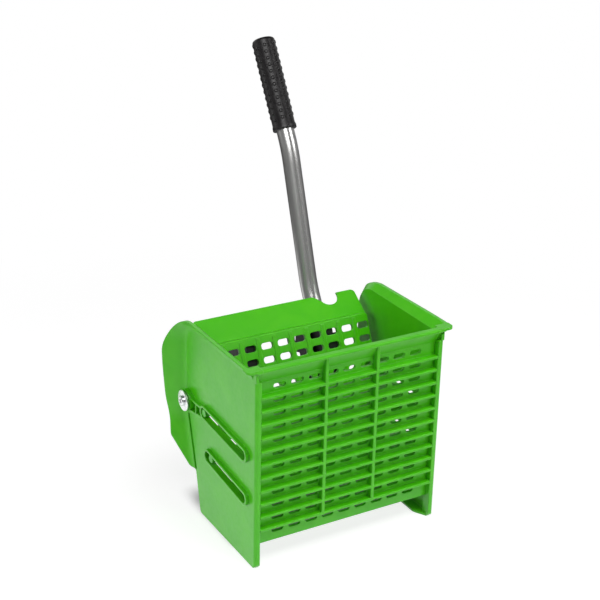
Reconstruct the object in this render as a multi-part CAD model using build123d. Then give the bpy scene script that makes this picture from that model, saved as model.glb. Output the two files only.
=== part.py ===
from build123d import *
import os
from math import atan2, cos, degrees, hypot, radians, sin, tan

os.makedirs("parts", exist_ok=True)

# Mop wringer in millimetres. X runs across it, Y to the rear and Z up.
# Every Y here is counted from the front of the ribs; the pieces are shifted as they are saved.

# Fits
RUN_FIT = 0.05
SIDE_GAP = 0.4
ROLLER_PLAY = 0.5
NOTCH_GAP = 2.0

# Body walls
CHEEK_OUT = 136.5
CHEEK_WALL = 4.0
CHEEK_IN = CHEEK_OUT - CHEEK_WALL
RIM_TOP = 277.5
BASE_Z = -2.5
POST_WIDTH = 8.0
POST_IN = CHEEK_OUT - POST_WIDTH
POST_ROUND = 4.0
FOOT_ROUND = 3.6
FOOT_CORNER = 7.0
FOOT_FLANGE_WIDTH = 18.0
FOOT_FLANGE_THICK = 3.0
FOOT_FLANGE_Y = (4.0, 148.0)
FOOT_FLANGE_SLANT = 17.0
FOOT_FLANGE_ROUND = 13.0

# Front sieve
RIB_DEPTH = 9.0
SIEVE_WALL = 4.0
SIEVE_BACK = RIB_DEPTH + SIEVE_WALL
RIB_COUNT = 11
RIB_PITCH = 18.53
RIB_TOP = 238.9
RIB_THICK = 4.0
RIB_ROUND = 1.3
UPRIGHT_X = 37.2
UPRIGHT_WIDTH = 4.8
APRON_BOTTOM = 28.0
RIM_THICK = 4.5
RIM_GUSSET = 22.0
RIM_GUSSET_FRONT = 1.0
RIM_FRONT = -3.3
RIM_BACK = 6.0
HOLE_PITCH = 24.8
SIEVE_COLUMNS = 9
SIEVE_HOLE = (17.5, 7.2)
SIEVE_ROW_TOP = 246.9

# Cheek outline and flare, side view
FOLD_Z = 260.0
CREASE_Y = 191.0
CREASE_BEND_Z = 128.0
CREASE_END = (165.0, 46.0)
FOLD_CORNER = 26.0
CREASE_BEND = 60.0
FLARE_ANGLE = 46.0
FLARE_ROUND = 14.0
FLARE_LENGTH = 36.0
FLARE_EDGE = 2.4
EAR_Y = 220.5
EAR_ROUND = 60.0
EAR_DROP = 2.6
EAR_DROP_Y = 40.0
WING_HIGH = (219.6, 200.0)
WING_MID = (216.5, 140.0)
WING_LOW = (206.5, 97.0)
WING_TIP = (178.5, 57.5)
WING_END = (168.0, 56.5)
CREASE_GROOVE = ((168.6, 60.0), (188.0, 131.0))
CREASE_GROOVE_WIDTH = 5.6
CREASE_GROOVE_DEPTH = 3.0
LIP_REACH = 12.9
LIP_OUT = CHEEK_OUT + LIP_REACH
LIP_CORNER = 7.5
LIP_CORNER_HEIGHT = 3.2
LIP_WEB = 2.5
LIP_CORNER_BACK = RIB_DEPTH + LIP_WEB
BASE_REAR = 155.0

# Guide slots
UPPER_SLOPE = 0.063
LOWER_SLOPE = 0.091
SLOT_HEIGHT = 14.0
SLOT_MID_Y = 85.0
UPPER_SLOT_Z = 155.7
LOWER_SLOT_Z = 96.4
UPPER_SLOT = (26.0, 135.0)
LOWER_SLOT = (25.0, 124.0)
COLLAR_WALL = 3.0
SLOT_COLLAR = 5.1
SLOT_COLLAR_TOP = CHEEK_OUT + SLOT_COLLAR
BOSS_COLLAR = 7.0
COLLAR_TOP = CHEEK_OUT + BOSS_COLLAR

# Axle
AXLE = (185.0, 155.5)
AXLE_RADIUS = 6.0
BUSH_RADIUS = 8.0
BUSH_FLANGE_RADIUS = 11.0
BUSH_FLANGE = 1.2
BOSS_RADIUS = 15.0
BOSS_INSET = 3.5
BOSS_IN = CHEEK_IN - BOSS_INSET
NECK_DIP = (17.0, 8.0)
NECK_RISE = (13.0, 5.2)
NECK_RIB = (21.0, 23.0)
AXLE_END = COLLAR_TOP + BUSH_FLANGE + SIDE_GAP
WASHER_RADIUS = 14.4
WASHER_THICK = 2.0
SCREW_HEAD_RADIUS = 7.0
SCREW_HEAD = 3.4
SCREW_SHANK_RADIUS = 3.0
SCREW_LENGTH = 16.0

# Press motion
LEVER_TRAVEL = 75.0
PLATE_TILT = 24.5
STROKE = 103.5
PIN_START_Y = 135.5
PIN_PLAY = 0.65
PIN_SPACING = 61.3
PIN_LEAN = 5.9
SLEEVE_RADIUS = 5.5
ROD_RADIUS = 3.0
SLEEVE_SET_BACK = 1.2
SLEEVE_END = SLOT_COLLAR_TOP - SLEEVE_SET_BACK
SLEEVE_CAP = 2.0
ROD_END = SLEEVE_END - SLEEVE_CAP
CLIP_RADIUS = 5.5
CLIP_THICK = 1.0

# Press plate, in its own upright frame with the upper rod at the origin
PLATE_ROOM = 10.5
PLATE_HALF = CHEEK_IN - PLATE_ROOM
PLATE_FACE = -10.1
PLATE_CORNER = 5.0
PLATE_THICK = 4.0
PLATE_BACK = PLATE_FACE + PLATE_THICK
PLATE_TOP = 84.4
PLATE_BOTTOM = -128.0
SHELF_THICK = 3.0
STRIP_ROOM = 8.0
STRIP_HALF = CHEEK_IN - STRIP_ROOM
STRIP_FOOT_Y = 0.0
STRIP_LEAN = 30.3
STRIP_LENGTH = 39.0
STRIP_THICK = 3.0
STRIP_ROUND = 6.0
TUBE_RADIUS = 12.5
NOTCH_RADIUS = TUBE_RADIUS + NOTCH_GAP
NOTCH_BEAK = 1.4
NOTCH_DEPTH = 17.0
NOTCH_ENTRY = 8.0
PLATE_COLUMNS = 10
PLATE_HIGH_ROWS = 4
PLATE_LOW_ROWS = 7
PLATE_HOLE = (17.0, 8.8)
PLATE_HOLE_ROUND = 3.4
PLATE_ROW_TOP = 68.4
PLATE_LOW_ROW_TOP = -10.0
PLATE_LOW_PITCH = 17.25
RIDGE_WIDTH = 5.0
RIDGE_HEIGHT = 0.7
FLANGE_WALL = 4.5
FLANGE_IN = PLATE_HALF - FLANGE_WALL
PIN_BOSS_RADIUS = 9.0

# Cranks, rollers and drive brackets
CRANK_LENGTH = 78.0
CRANK_LEAN = 33.0
ARM_IN = 46.0
ARM_OUT = 55.5
ARM_HUB_IN = 38.5
ARM_HUB_RADIUS = 15.0
ARM_TIP_RADIUS = 11.0
ROLLER_RADIUS = 8.0
CRANK_PIN_RADIUS = 4.0
CRANK_PIN_HEAD = 6.5
CRANK_PIN_PROUD = 2.6
BRACKET_IN = 57.0
BRACKET_OUT = 66.0
BRACKET_MARGIN = 7.0
BRACKET_FLANGE_IN = 48.0
BRACKET_FLANGE_OUT = 79.0
BRACKET_FLANGE = 4.0
BRACKET_FLANGE_Z = (32.0, 66.0)
BRACKET_TAB_TOP = 74.0
BRACKET_SCREW_X = 74.4
BRACKET_SCREW_RADIUS = 2.0
BRACKET_SCREW_HEAD = 4.0
BRACKET_SCREW_BITE = 3.0
CAM_STEPS = 8

# Handle
TUBE_WALL = 1.5
TUBE_GAP = 3.5
TUBE_X = BRACKET_OUT + TUBE_GAP + TUBE_RADIUS
LOWER_LEAN = 35.9
MID_LEAN = 18.55
GRIP_LEAN = 30.9
LOWER_LEG = 109.2
MID_LEG = 201.5
UPPER_LEG = 160.0
TUBE_BEND = 165.0
TUBE_START = 15.0
TUBE_SHORT = 6.0
GRIP_LENGTH = 132.0
GRIP_RADIUS = 16.9
GRIP_COLLAR_RADIUS = 17.2
GRIP_COLLAR = 6.0
GRIP_TOP_ROUND = 4.5
HUB_HALF = 12.0
HUB_RADIUS = 16.5
SOCKET_WALL = 2.5
SOCKET_RADIUS = TUBE_RADIUS + SOCKET_WALL
SOCKET_LENGTH = 62.0
HUB_SCREWS = (36.0, 52.0)
HUB_SCREW_RADIUS = 2.5
HUB_SCREW_HEAD = 4.5
HUB_SCREW_HEAD_THICK = 3.0


def block(x, y, z):
    """A box between two places on each axis."""
    middle = ((x[0] + x[1]) / 2, (y[0] + y[1]) / 2, (z[0] + z[1]) / 2)
    return Pos(*middle) * Box(x[1] - x[0], y[1] - y[0], z[1] - z[0])


def across(sketch, start, end):
    """A side view drawn in Y and Z, made solid between two places along X."""
    return extrude(Plane.YZ.offset(start) * sketch, end - start)


def rod(at, radius, start, end):
    """A round bar along X through a point of the side view."""
    return across(Pos(*at) * Circle(radius), start, end)


def obround(first, last, height):
    """A round-ended slot between two end centres."""
    run = (last[0] - first[0], last[1] - first[1])
    middle = ((first[0] + last[0]) / 2, (first[1] + last[1]) / 2)
    turn = degrees(atan2(run[1], run[0]))
    return Pos(*middle) * SlotCenterToCenter(hypot(*run), height, rotation=turn)


def outline(*corners):
    """A closed face from corners given as (place, rounding)."""
    places = [corner[0] for corner in corners]
    rounds = [corner[1] for corner in corners]
    return make_face(FilletPolyline(*places, radius=rounds, close=True))


def both(piece):
    """The piece and its mirror image on the other side."""
    return piece, mirror(piece, about=Plane.YZ)


def pair(piece):
    """Both sides as one group of separate solids."""
    return Compound(children=[side.solid() for side in both(piece)])


def lean(length, angle, start=(0.0, 0.0)):
    """The point a length away at an angle leaning back from upright."""
    return (start[0] + length * sin(radians(angle)), start[1] + length * cos(radians(angle)))


def upper_slot_z(y):
    """Height of the upper slot's middle line."""
    return UPPER_SLOT_Z + UPPER_SLOPE * (y - SLOT_MID_Y)


def lower_slot_z(y):
    """Height of the lower slot's middle line."""
    return LOWER_SLOT_Z + LOWER_SLOPE * (y - SLOT_MID_Y)


PIN_START = (PIN_START_Y, upper_slot_z(PIN_START_Y) - PIN_PLAY)
PIN_FINISH = (PIN_START_Y - STROKE, upper_slot_z(PIN_START_Y - STROKE) + PIN_PLAY)
TO_REST = Pos(0, *PIN_START) * Rot(-PLATE_TILT, 0, 0)
CRANK_TIP = lean(CRANK_LENGTH, CRANK_LEAN, AXLE)


def roller_in_plate(part):
    """Where the crank roller stands in the plate's upright frame at a part of the stroke."""
    tip = lean(CRANK_LENGTH, CRANK_LEAN - LEVER_TRAVEL * part, AXLE)
    pin_y = PIN_START[0] + (PIN_FINISH[0] - PIN_START[0]) * part
    pin_z = PIN_START[1] + (PIN_FINISH[1] - PIN_START[1]) * part
    turn = radians(PLATE_TILT * (1 - part))
    back, up = tip[0] - pin_y, tip[1] - pin_z
    return (back * cos(turn) - up * sin(turn), back * sin(turn) + up * cos(turn))


def rim_profile():
    """Side view of the front rim with its slanted underside."""
    return outline(
        ((RIM_FRONT, RIM_TOP - RIM_THICK), 1.0),
        ((RIM_FRONT, RIM_TOP), 1.8),
        ((RIM_BACK, RIM_TOP), 1.5),
        ((SIEVE_BACK, RIM_TOP - RIM_GUSSET), 0),
        ((RIB_DEPTH, RIM_TOP - RIM_GUSSET), 0),
        ((RIM_GUSSET_FRONT, RIM_TOP - RIM_THICK), 0),
    )


def rib_profile(top):
    """Side view of a level rib with a rounded front."""
    low = top - RIB_THICK
    back = RIB_DEPTH + SIEVE_WALL / 2
    return outline(((0, low), RIB_ROUND), ((0, top), RIB_ROUND), ((back, top), 0), ((back, low), 0))


def upright_rib(middle, low, high):
    """Upright rib with a rounded front, between two heights."""
    left, right = middle - UPRIGHT_WIDTH / 2, middle + UPRIGHT_WIDTH / 2
    back = RIB_DEPTH + SIEVE_WALL / 2
    plan = outline(((left, 0), RIB_ROUND), ((right, 0), RIB_ROUND), ((right, back), 0), ((left, back), 0))
    return Pos(0, 0, low) * extrude(plan, high - low)


def front_sieve():
    """Slotted front wall between the posts, with ribs, rim and apron."""
    span = (-POST_IN, POST_IN)
    sieve = block(span, (RIB_DEPTH, SIEVE_BACK), (APRON_BOTTOM, RIM_TOP - RIM_GUSSET))
    sieve += across(rim_profile(), *span)
    for index in range(RIB_COUNT):
        sieve += across(rib_profile(RIB_TOP - RIB_PITCH * index), *span)
    low = RIB_TOP - RIB_PITCH * (RIB_COUNT - 1) - RIB_THICK
    for middle in (-UPRIGHT_X, UPRIGHT_X):
        sieve += upright_rib(middle, low, RIM_TOP - RIM_THICK)
    hole = SlotOverall(*SIEVE_HOLE)
    places = [
        (HOLE_PITCH * (column - (SIEVE_COLUMNS - 1) / 2), SIEVE_ROW_TOP - RIB_PITCH * row)
        for row in range(RIB_COUNT + 1)
        for column in range(SIEVE_COLUMNS)
    ]
    drain = Plane.XZ.offset(-SIEVE_BACK - 1) * (Sketch() + [Pos(*place) * hole for place in places])
    return sieve - extrude(drain, SIEVE_WALL + 2)


def cheek_edge():
    """Outer edge of a cheek in side view, lip, ear and wing included."""
    return outline(
        ((0, BASE_Z), FOOT_CORNER),
        ((0, RIM_TOP), 1.8),
        ((EAR_DROP_Y, RIM_TOP), 0),
        ((EAR_Y, RIM_TOP - EAR_DROP), EAR_ROUND),
        (WING_HIGH, 700),
        (WING_MID, 240),
        (WING_LOW, 14),
        (WING_TIP, 7),
        (WING_END, 4),
        ((BASE_REAR, BASE_Z), 6),
    )


def fold_path():
    """Line along which a cheek bends outwards, in side view."""
    return FilletPolyline(
        (-1, FOLD_Z),
        (CREASE_Y, FOLD_Z),
        (CREASE_Y, CREASE_BEND_Z),
        CREASE_END,
        radius=[FOLD_CORNER, CREASE_BEND],
    )


def flare_section():
    """Section of the flare: distance past the fold, and X."""
    turn = radians(FLARE_ANGLE)
    run = (FLARE_LENGTH * cos(turn), FLARE_LENGTH * sin(turn))
    outer_bend = (FLARE_ROUND * sin(turn), CHEEK_OUT + FLARE_ROUND * (1 - cos(turn)))
    outer_end = (outer_bend[0] + run[0], outer_bend[1] + run[1])
    inner_end = (outer_end[0] + FLARE_EDGE * sin(turn), outer_end[1] - FLARE_EDGE * cos(turn))
    inner_bend = ((FLARE_ROUND + CHEEK_WALL) * tan(turn / 2), CHEEK_IN)
    outer_arc = RadiusArc(outer_bend, (0, CHEEK_OUT), FLARE_ROUND)
    edges = [
        Line((0, CHEEK_IN), inner_bend),
        Line(inner_bend, inner_end),
        Line(inner_end, outer_end),
        Line(outer_end, outer_bend),
        outer_arc,
        Line((0, CHEEK_OUT), (0, CHEEK_IN)),
    ]
    return make_face(edges)


def post():
    """Front post of a cheek with a rounded outer corner and foot."""
    plan = outline(
        ((POST_IN, 0), 1.2),
        ((CHEEK_OUT, 0), POST_ROUND),
        ((CHEEK_OUT, SIEVE_BACK), 0),
        ((POST_IN, SIEVE_BACK), 0),
    )
    front = outline(
        ((POST_IN, BASE_Z), FOOT_ROUND),
        ((CHEEK_OUT, BASE_Z), 0),
        ((CHEEK_OUT, RIM_TOP), 0),
        ((POST_IN, RIM_TOP), 0),
    )
    upright = Pos(0, 0, BASE_Z) * extrude(plan, FOLD_Z - BASE_Z)
    tip = extrude(Plane.XZ * front, -SIEVE_BACK)
    side = across(cheek_edge(), POST_IN, CHEEK_OUT)
    return (upright & tip & side) + across(rim_profile(), POST_IN, CHEEK_OUT)


def lip_corner():
    """Rounded front corner of the rim, with the wall that closes the lip behind it."""
    plan = outline(
        ((POST_IN, RIM_FRONT), 0),
        ((LIP_OUT, RIM_FRONT), LIP_CORNER),
        ((LIP_OUT, LIP_CORNER_BACK), 0),
        ((POST_IN, LIP_CORNER_BACK), 0),
    )
    corner = Pos(0, 0, RIM_TOP - LIP_CORNER_HEIGHT) * extrude(plan, LIP_CORNER_HEIGHT)
    inner = CHEEK_OUT - 1
    web = make_face(Polyline((inner, FOLD_Z + 2), (inner, RIM_TOP), (LIP_OUT - 3.5, RIM_TOP), close=True))
    return corner + extrude(Plane.XZ.offset(-LIP_CORNER_BACK) * web, LIP_WEB)


def foot_flange():
    """Inward flange along the bottom of a cheek, its front corner slanting out to the post."""
    inner = CHEEK_OUT - FOOT_FLANGE_WIDTH
    plan = outline(
        ((inner, FOOT_FLANGE_Y[0] + FOOT_FLANGE_SLANT), FOOT_FLANGE_ROUND),
        ((POST_IN, FOOT_FLANGE_Y[0]), 0),
        ((CHEEK_IN + 1, FOOT_FLANGE_Y[0]), 0),
        ((CHEEK_IN + 1, FOOT_FLANGE_Y[1]), 0),
        ((inner, FOOT_FLANGE_Y[1]), FOOT_FLANGE_ROUND),
    )
    return Pos(0, 0, BASE_Z) * extrude(plan, FOOT_FLANGE_THICK)


def neck():
    """Web between the axle boss and the upper slot collar, its wall standing as proud as the collar."""
    end_y = UPPER_SLOT[1]
    end_z = upper_slot_z(end_y)
    half = SLOT_HEIGHT / 2 + COLLAR_WALL
    return outline(
        ((AXLE[0] - 3, AXLE[1] + BOSS_RADIUS - 0.4), 0),
        ((AXLE[0] - NECK_DIP[0], AXLE[1] + NECK_DIP[1]), 6),
        ((end_y + NECK_RISE[0], end_z + NECK_RISE[1]), 8),
        ((end_y - 8, upper_slot_z(end_y - 8) + half), 0),
        ((end_y, end_z), 0),
        ((end_y + 2, end_z - half), 0),
        ((AXLE[0] - 3, AXLE[1] - BOSS_RADIUS + 0.4), 0),
    )


def right_cheek():
    """Side wall with its lip, wing, slot collars and axle boss."""
    edge = cheek_edge()
    path = fold_path()
    room = (CREASE_END[0] + 20, CREASE_END[1])
    below = Polyline(CREASE_END, room, (room[0], -10), (-1, -10), (-1, FOLD_Z))
    flat = edge & make_face(path.edges() + below.edges())
    start = Plane(origin=(0, -1, FOLD_Z), x_dir=(0, 0, 1), z_dir=(0, 1, 0))
    flare = sweep(start * flare_section(), path=Plane.YZ * path)
    under_corner = (FOLD_Z - 5, RIM_TOP - LIP_CORNER_HEIGHT)
    flare -= block((CHEEK_OUT, LIP_OUT + 10), (-5, RIB_DEPTH), under_corner)
    wall = across(flat, CHEEK_IN, CHEEK_OUT) - block((CHEEK_IN, CHEEK_OUT), (-1, POST_ROUND), (BASE_Z - 1, RIM_TOP))
    cheek = wall + (flare & across(edge, 0, 2 * CHEEK_OUT)) + post() + lip_corner() + foot_flange()
    groove = obround(*CREASE_GROOVE, CREASE_GROOVE_WIDTH)
    cheek -= across(groove, CHEEK_OUT - CREASE_GROOVE_DEPTH, CHEEK_OUT + 4)
    upper = [(y, upper_slot_z(y)) for y in UPPER_SLOT]
    lower = [(y, lower_slot_z(y)) for y in LOWER_SLOT]
    collar = SLOT_HEIGHT + 2 * COLLAR_WALL
    cheek += across(obround(*lower, collar), CHEEK_IN, SLOT_COLLAR_TOP)
    cheek += across(neck(), CHEEK_IN, SLOT_COLLAR_TOP)
    pocket = offset(neck(), -COLLAR_WALL)
    rib_y = (UPPER_SLOT[1] + NECK_RIB[0], UPPER_SLOT[1] + NECK_RIB[1])
    rib = Pos(sum(rib_y) / 2, AXLE[1]) * Rectangle(rib_y[1] - rib_y[0], 2 * BOSS_RADIUS)
    cheek -= across(pocket - rib, CHEEK_OUT, COLLAR_TOP + 1)
    cheek += across(obround(*upper, collar), CHEEK_IN, SLOT_COLLAR_TOP)
    cheek += rod(AXLE, BOSS_RADIUS, BOSS_IN, COLLAR_TOP)
    cheek -= across(obround(*upper, SLOT_HEIGHT), BOSS_IN, COLLAR_TOP + 1)
    cheek -= across(obround(*lower, SLOT_HEIGHT), BOSS_IN, COLLAR_TOP + 1)
    return cheek - rod(AXLE, BUSH_RADIUS, BOSS_IN - 1, COLLAR_TOP + 1)


def axle_bush():
    """Flanged bush in the boss of the right cheek."""
    bush = rod(AXLE, BUSH_RADIUS, BOSS_IN, COLLAR_TOP)
    bush += rod(AXLE, BUSH_FLANGE_RADIUS, COLLAR_TOP, COLLAR_TOP + BUSH_FLANGE)
    return bush - rod(AXLE, AXLE_RADIUS + RUN_FIT, BOSS_IN - 1, COLLAR_TOP + BUSH_FLANGE + 1)


def cross_axle():
    """Rod from cheek to cheek with a screw hole in each end."""
    axle = rod(AXLE, AXLE_RADIUS, -AXLE_END, AXLE_END)
    for hole in both(rod(AXLE, SCREW_SHANK_RADIUS, AXLE_END - SCREW_LENGTH, AXLE_END + 1)):
        axle -= hole
    return axle


def pivot_washer():
    """Large washer on the right end of the axle."""
    outer = AXLE_END + WASHER_THICK
    washer = rod(AXLE, WASHER_RADIUS, AXLE_END, outer)
    washer = chamfer(washer.edges().group_by(Axis.X)[-1], 0.5)
    return washer - rod(AXLE, SCREW_SHANK_RADIUS, AXLE_END - 1, outer + 1)


def pivot_screw():
    """Screw with a low round head and a cross recess, right side."""
    seat = AXLE_END + WASHER_THICK
    head = rod(AXLE, SCREW_HEAD_RADIUS, seat, seat + SCREW_HEAD)
    head = fillet(head.edges().group_by(Axis.X)[-1], 2.2)
    recess = RectangleRounded(8, 1.8, 0.4) + RectangleRounded(1.8, 8, 0.4)
    head -= across(Pos(*AXLE) * Rot(0, 0, 20) * recess, seat + 1, seat + SCREW_HEAD + 1)
    return head + rod(AXLE, SCREW_SHANK_RADIUS, AXLE_END - SCREW_LENGTH, seat)


def right_crank_arm():
    """Black arm from the axle up to the crank roller, right side."""
    web = make_hull([*(Pos(*AXLE) * Circle(ARM_HUB_RADIUS)).edges(),
                     *(Pos(*CRANK_TIP) * Circle(ARM_TIP_RADIUS)).edges()])
    arm = across(web, ARM_IN, ARM_OUT) + rod(AXLE, ARM_HUB_RADIUS, ARM_HUB_IN, ARM_IN)
    arm -= rod(AXLE, AXLE_RADIUS, ARM_HUB_IN - 1, ARM_OUT + 1)
    arm -= rod(CRANK_TIP, CRANK_PIN_RADIUS, ARM_IN - 1, ARM_OUT + 1)
    return arm - set_screw_bar(0, ARM_HUB_RADIUS + 1)


def set_screw_bar(start, end):
    """Bar of the set screw that locks an arm to the axle, between two distances from the axle's middle."""
    middle = ((ARM_HUB_IN + ARM_IN) / 2, *AXLE)
    seat = Plane(origin=middle, x_dir=(1, 0, 0), z_dir=(0, 1, 0))
    return extrude(seat.offset(start) * Circle(SCREW_SHANK_RADIUS), end - start)


def arm_set_screw():
    """Headless screw with a hexagon socket, right side."""
    screw = set_screw_bar(AXLE_RADIUS, ARM_HUB_RADIUS - 0.6)
    middle = ((ARM_HUB_IN + ARM_IN) / 2, *AXLE)
    mouth = Plane(origin=middle, x_dir=(1, 0, 0), z_dir=(0, 1, 0)).offset(ARM_HUB_RADIUS - 0.6)
    return screw - extrude(mouth * RegularPolygon(1.7, 6), -2.5)


def crank_pin():
    """Headed pin through the right arm and its roller."""
    pin = rod(CRANK_TIP, CRANK_PIN_RADIUS, ARM_IN, BRACKET_OUT + CRANK_PIN_PROUD)
    return pin + rod(CRANK_TIP, CRANK_PIN_HEAD, ARM_IN - 2.5, ARM_IN)


def crank_pin_clip():
    """Retaining ring outside the right drive bracket."""
    start = BRACKET_OUT + 2 * SIDE_GAP
    clip = rod(CRANK_TIP, CRANK_PIN_HEAD, start, start + CLIP_THICK)
    return clip - rod(CRANK_TIP, CRANK_PIN_RADIUS, start - 1, start + 2)


def right_cam_roller():
    """Roller on the right crank pin, inside the bracket's cam slot."""
    roller = rod(CRANK_TIP, ROLLER_RADIUS, BRACKET_IN + SIDE_GAP, BRACKET_OUT - SIDE_GAP)
    roller = fillet(roller.edges(), 0.8)
    return roller - rod(CRANK_TIP, CRANK_PIN_RADIUS + RUN_FIT, BRACKET_IN - 1, BRACKET_OUT + 1)


def tube_points():
    """Corners of the handle tube's middle line in side view."""
    low = lean(LOWER_LEG, LOWER_LEAN, AXLE)
    high = lean(MID_LEG, MID_LEAN, low)
    return low, high, lean(UPPER_LEG, GRIP_LEAN, high)


def tube_plane(length):
    """Section plane across the lower leg of the tube, a length from the axle."""
    at = lean(length, LOWER_LEAN, AXLE)
    along = lean(1, LOWER_LEAN)
    return Plane(origin=(TUBE_X, *at), x_dir=(1, 0, 0), z_dir=(0, *along))


def grip_plane(length):
    """Section plane across the grip, a length from its upper end."""
    end = tube_points()[2]
    at = lean(-length, GRIP_LEAN, end)
    along = lean(1, GRIP_LEAN)
    return Plane(origin=(TUBE_X, *at), x_dir=(1, 0, 0), z_dir=(0, *along))


def hub_screw_axis(length):
    """Plane on the tube's middle line, facing the rear, a length from the axle."""
    at = lean(length, LOWER_LEAN, AXLE)
    behind = lean(1, LOWER_LEAN + 90)
    return Plane(origin=(TUBE_X, *at), x_dir=(1, 0, 0), z_dir=(0, *behind))


def hub_screw_bar(length):
    """Shank of one socket screw, from inside the tube to the socket's skin."""
    plane = hub_screw_axis(length).offset(TUBE_RADIUS - TUBE_WALL - 2)
    return extrude(plane * Circle(HUB_SCREW_RADIUS), SOCKET_RADIUS - TUBE_RADIUS + TUBE_WALL + 2)


def handle_tube():
    """Bent steel tube from the hub to the grip."""
    low, high, end = tube_points()
    last = lean(-TUBE_SHORT, GRIP_LEAN, end)
    first = lean(TUBE_START, LOWER_LEAN, AXLE)
    line = FilletPolyline(first, low, high, last, radius=[TUBE_BEND, TUBE_BEND])
    path = Plane.YZ.offset(TUBE_X) * line
    plane = tube_plane(TUBE_START)
    tube = sweep(plane * Circle(TUBE_RADIUS), path=path)
    tube -= sweep(plane * Circle(TUBE_RADIUS - TUBE_WALL), path=path)
    for length in HUB_SCREWS:
        tube -= hub_screw_bar(length)
    return tube


def handle_hub():
    """Black hub on the axle with a socket for the tube."""
    hub = rod(AXLE, HUB_RADIUS, TUBE_X - HUB_HALF, TUBE_X + HUB_HALF)
    hub += extrude(tube_plane(0) * Circle(SOCKET_RADIUS), SOCKET_LENGTH)
    hub -= extrude(tube_plane(TUBE_START) * Circle(TUBE_RADIUS), SOCKET_LENGTH)
    hub -= rod(AXLE, AXLE_RADIUS, TUBE_X - 2 * HUB_HALF, TUBE_X + 2 * HUB_HALF)
    for length in HUB_SCREWS:
        hub -= hub_screw_bar(length)
    return hub


def hub_screws():
    """Screws through the socket into the tube."""
    screws = []
    for length in HUB_SCREWS:
        seat = hub_screw_axis(length).offset(SOCKET_RADIUS)
        head = extrude(seat * Circle(HUB_SCREW_HEAD), HUB_SCREW_HEAD_THICK)
        recess = RectangleRounded(5, 1.2, 0.3) + RectangleRounded(1.2, 5, 0.3)
        head -= extrude(seat.offset(HUB_SCREW_HEAD_THICK - 1.2) * recess, 2)
        screws.append((head + hub_screw_bar(length)).solid())
    return Compound(children=screws)


def hand_grip():
    """Rubber grip with a rounded closed top and a collar at its mouth."""
    body = extrude(grip_plane(GRIP_LENGTH) * Circle(GRIP_RADIUS), GRIP_LENGTH)
    top = grip_plane(0).origin
    rings = body.edges().filter_by(GeomType.CIRCLE).sort_by_distance(top)
    body = fillet(rings[:1], GRIP_TOP_ROUND)
    body += extrude(grip_plane(GRIP_LENGTH) * Circle(GRIP_COLLAR_RADIUS), GRIP_COLLAR)
    return body - extrude(grip_plane(GRIP_LENGTH + 1) * Circle(TUBE_RADIUS), GRIP_LENGTH + 1 - TUBE_SHORT)


def guide_rod(at):
    """Rod across the back of the plate, in the plate's frame."""
    return rod(at, ROD_RADIUS, -ROD_END, ROD_END)


def guide_sleeve(at):
    """Sleeve on the right end of a guide rod, in the plate's frame."""
    sleeve = rod(at, SLEEVE_RADIUS, PLATE_HALF + SIDE_GAP, SLEEVE_END)
    sleeve = fillet(sleeve.edges().group_by(Axis.X)[-1], 0.8)
    return sleeve - rod(at, ROD_RADIUS, PLATE_HALF, ROD_END)


def rod_clip(at):
    """Retaining ring inside the right plate flange, in the plate's frame."""
    end = FLANGE_IN - SIDE_GAP
    clip = rod(at, CLIP_RADIUS, end - CLIP_THICK, end)
    return clip - rod(at, ROD_RADIUS, end - 2, end + 1)


UPPER_PIN = (0.0, 0.0)
LOWER_PIN = lean(-PIN_SPACING, -PIN_LEAN)


def strip_plane():
    """Plane on the front of the leaning strip, at the middle of its top edge."""
    along = lean(1, STRIP_LEAN)
    top = lean(STRIP_LENGTH, STRIP_LEAN, (STRIP_FOOT_Y, PLATE_TOP))
    facing = (0, -along[1], along[0])
    return Plane(origin=(0, *top), x_dir=(1, 0, 0), z_dir=facing)


def press_strip():
    """Leaning top strip with the notch for the handle tube."""
    sheet = outline(
        ((-STRIP_HALF, -STRIP_LENGTH - STRIP_THICK), 0),
        ((-STRIP_HALF, 0), STRIP_ROUND),
        ((STRIP_HALF, 0), STRIP_ROUND),
        ((STRIP_HALF, -STRIP_LENGTH - STRIP_THICK), 0),
    )
    seat = NOTCH_RADIUS - NOTCH_DEPTH
    left = TUBE_X - NOTCH_RADIUS
    notch = Pos(TUBE_X, seat) * Circle(NOTCH_RADIUS)
    mouth = 2 * NOTCH_RADIUS - NOTCH_BEAK
    notch += Pos(left + mouth / 2, seat / 2 + 1) * Rectangle(mouth, 2 - seat)
    notch += make_face(Polyline((left - NOTCH_ENTRY, 0.01), (left, -NOTCH_ENTRY), (left + 4, -NOTCH_ENTRY),
                                (left + 4, 2), (left - NOTCH_ENTRY, 2), close=True))
    return extrude(strip_plane() * (sheet - notch), -STRIP_THICK)


def plate_row_heights():
    """Heights of the plate's rows of holes, above and below the plain band at the upper rod."""
    high = [PLATE_ROW_TOP - RIB_PITCH * row for row in range(PLATE_HIGH_ROWS)]
    low = [PLATE_LOW_ROW_TOP - PLATE_LOW_PITCH * row for row in range(PLATE_LOW_ROWS)]
    return high + low


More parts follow.
